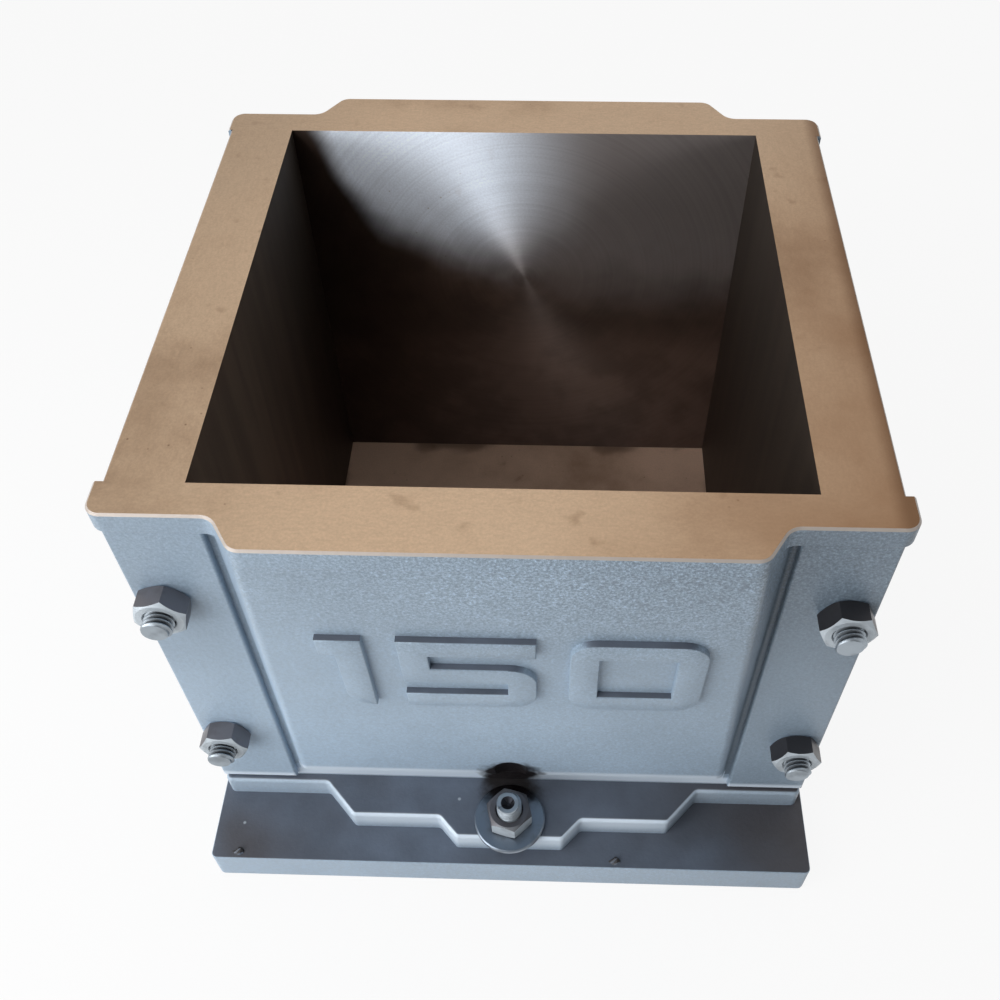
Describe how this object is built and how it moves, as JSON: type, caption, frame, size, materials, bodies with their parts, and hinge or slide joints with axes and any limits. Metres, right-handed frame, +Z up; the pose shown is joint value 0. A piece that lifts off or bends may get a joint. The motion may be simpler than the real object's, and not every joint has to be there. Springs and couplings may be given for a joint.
{
  "type": "concrete cube mould",
  "caption": "Cast iron cube mould: eared and flanged end walls and plain side walls held by studs and nuts on a flat base plate, open at the top for casting a concrete test cube.",
  "frame": {"origin": "on the underside of the base plate, under the middle of the cavity", "axes": "+Z up out of the open top, -Y towards the end wall with the number, +X to the right when facing it"},
  "size_m": [0.1944, 0.216, 0.165],
  "materials": {
    "wall_casting": "grey paint outside, bare machined iron inside and on the rim",
    "base_casting": "grey paint, bare machined floor inside the walls",
    "stud_steel": "bright threaded steel",
    "black_nut": "black oxide",
    "washer_steel": "dull grey steel"
  },
  "bodies": {
    "base": {"base_plate": "base_casting", "base_stud_front": "stud_steel", "base_stud_back": "stud_steel"},
    "side_frame": {"left_wall": "wall_casting", "right_wall": "wall_casting", "corner_stud_front_upper_left": "stud_steel", "corner_stud_front_upper_right": "stud_steel", "corner_stud_front_lower_left": "stud_steel", "corner_stud_front_lower_right": "stud_steel", "corner_stud_back_upper_left": "stud_steel", "corner_stud_back_upper_right": "stud_steel", "corner_stud_back_lower_left": "stud_steel", "corner_stud_back_lower_right": "stud_steel"},
    "front_wall": {"front_wall": "wall_casting"},
    "back_wall": {"back_wall": "wall_casting"},
    "corner_nut_front_upper_left": {"corner_nut_front_upper_left": "black_nut"},
    "corner_nut_front_upper_right": {"corner_nut_front_upper_right": "black_nut"},
    "corner_nut_front_lower_left": {"corner_nut_front_lower_left": "black_nut"},
    "corner_nut_front_lower_right": {"corner_nut_front_lower_right": "black_nut"},
    "base_washer_front": {"base_washer_front": "washer_steel"},
    "base_nut_front": {"base_nut_front": "black_nut"},
    "corner_nut_back_upper_left": {"corner_nut_back_upper_left": "black_nut"},
    "corner_nut_back_upper_right": {"corner_nut_back_upper_right": "black_nut"},
    "corner_nut_back_lower_left": {"corner_nut_back_lower_left": "black_nut"},
    "corner_nut_back_lower_right": {"corner_nut_back_lower_right": "black_nut"},
    "base_washer_back": {"base_washer_back": "washer_steel"},
    "base_nut_back": {"base_nut_back": "black_nut"}
  },
  "joints": [
    {"name": "wall_lift", "type": "slide", "parent": "base", "child": "side_frame", "axis": [0, 0, 1], "range_m": [0, 0.06]},
    {"name": "front_wall_ease", "type": "slide", "parent": "side_frame", "child": "front_wall", "axis": [0, -1, 0], "range_m": [0, 0.00187]},
    {"name": "corner_nut_front_upper_left_turn", "type": "hinge", "parent": "front_wall", "child": "corner_nut_front_upper_left", "pos_m": [-0.087, -0.0843, 0.129], "axis": [0, -1, 0], "range_deg": [0, 540]},
    {"name": "corner_nut_front_upper_right_turn", "type": "hinge", "parent": "front_wall", "child": "corner_nut_front_upper_right", "pos_m": [0.087, -0.0843, 0.129], "axis": [0, -1, 0], "range_deg": [0, 540]},
    {"name": "corner_nut_front_lower_left_turn", "type": "hinge", "parent": "front_wall", "child": "corner_nut_front_lower_left", "pos_m": [-0.087, -0.0843, 0.057], "axis": [0, -1, 0], "range_deg": [0, 540]},
    {"name": "corner_nut_front_lower_right_turn", "type": "hinge", "parent": "front_wall", "child": "corner_nut_front_lower_right", "pos_m": [0.087, -0.0843, 0.057], "axis": [0, -1, 0], "range_deg": [0, 540]},
    {"name": "base_nut_front_turn", "type": "hinge", "parent": "base_washer_front", "child": "base_nut_front", "pos_m": [0, -0.0965, 0.026], "axis": [0, 0, 1], "range_deg": [0, 2880]},
    {"name": "base_washer_front_rise", "type": "slide", "parent": "side_frame", "child": "base_washer_front", "axis": [0, 0, 1], "range_m": [0, 0.01]},
    {"name": "back_wall_ease", "type": "slide", "parent": "side_frame", "child": "back_wall", "axis": [0, 1, 0], "range_m": [0, 0.00187]},
    {"name": "corner_nut_back_upper_left_turn", "type": "hinge", "parent": "back_wall", "child": "corner_nut_back_upper_left", "pos_m": [-0.087, 0.0843, 0.129], "axis": [0, 1, 0], "range_deg": [0, 540]},
    {"name": "corner_nut_back_upper_right_turn", "type": "hinge", "parent": "back_wall", "child": "corner_nut_back_upper_right", "pos_m": [0.087, 0.0843, 0.129], "axis": [0, 1, 0], "range_deg": [0, 540]},
    {"name": "corner_nut_back_lower_left_turn", "type": "hinge", "parent": "back_wall", "child": "corner_nut_back_lower_left", "pos_m": [-0.087, 0.0843, 0.057], "axis": [0, 1, 0], "range_deg": [0, 540]},
    {"name": "corner_nut_back_lower_right_turn", "type": "hinge", "parent": "back_wall", "child": "corner_nut_back_lower_right", "pos_m": [0.087, 0.0843, 0.057], "axis": [0, 1, 0], "range_deg": [0, 540]},
    {"name": "base_nut_back_turn", "type": "hinge", "parent": "base_washer_back", "child": "base_nut_back", "pos_m": [0, 0.0965, 0.026], "axis": [0, 0, 1], "range_deg": [0, 2880]},
    {"name": "base_washer_back_rise", "type": "slide", "parent": "side_frame", "child": "base_washer_back", "axis": [0, 0, 1], "range_m": [0, 0.01]}
  ],
  "couplings": [
    {"joint": "corner_nut_front_upper_left_turn", "follows": "front_wall_ease", "rad_per_m": 5026.6},
    {"joint": "corner_nut_front_upper_right_turn", "follows": "front_wall_ease", "rad_per_m": 5026.6},
    {"joint": "corner_nut_front_lower_left_turn", "follows": "front_wall_ease", "rad_per_m": 5026.6},
    {"joint": "corner_nut_front_lower_right_turn", "follows": "front_wall_ease", "rad_per_m": 5026.6},
    {"joint": "base_washer_front_rise", "follows": "base_nut_front_turn", "m_per_rad": 0.00019894},
    {"joint": "corner_nut_back_upper_left_turn", "follows": "back_wall_ease", "rad_per_m": 5026.6},
    {"joint": "corner_nut_back_upper_right_turn", "follows": "back_wall_ease", "rad_per_m": 5026.6},
    {"joint": "corner_nut_back_lower_left_turn", "follows": "back_wall_ease", "rad_per_m": 5026.6},
    {"joint": "corner_nut_back_lower_right_turn", "follows": "back_wall_ease", "rad_per_m": 5026.6},
    {"joint": "base_washer_back_rise", "follows": "base_nut_back_turn", "m_per_rad": 0.00019894}
  ]
}
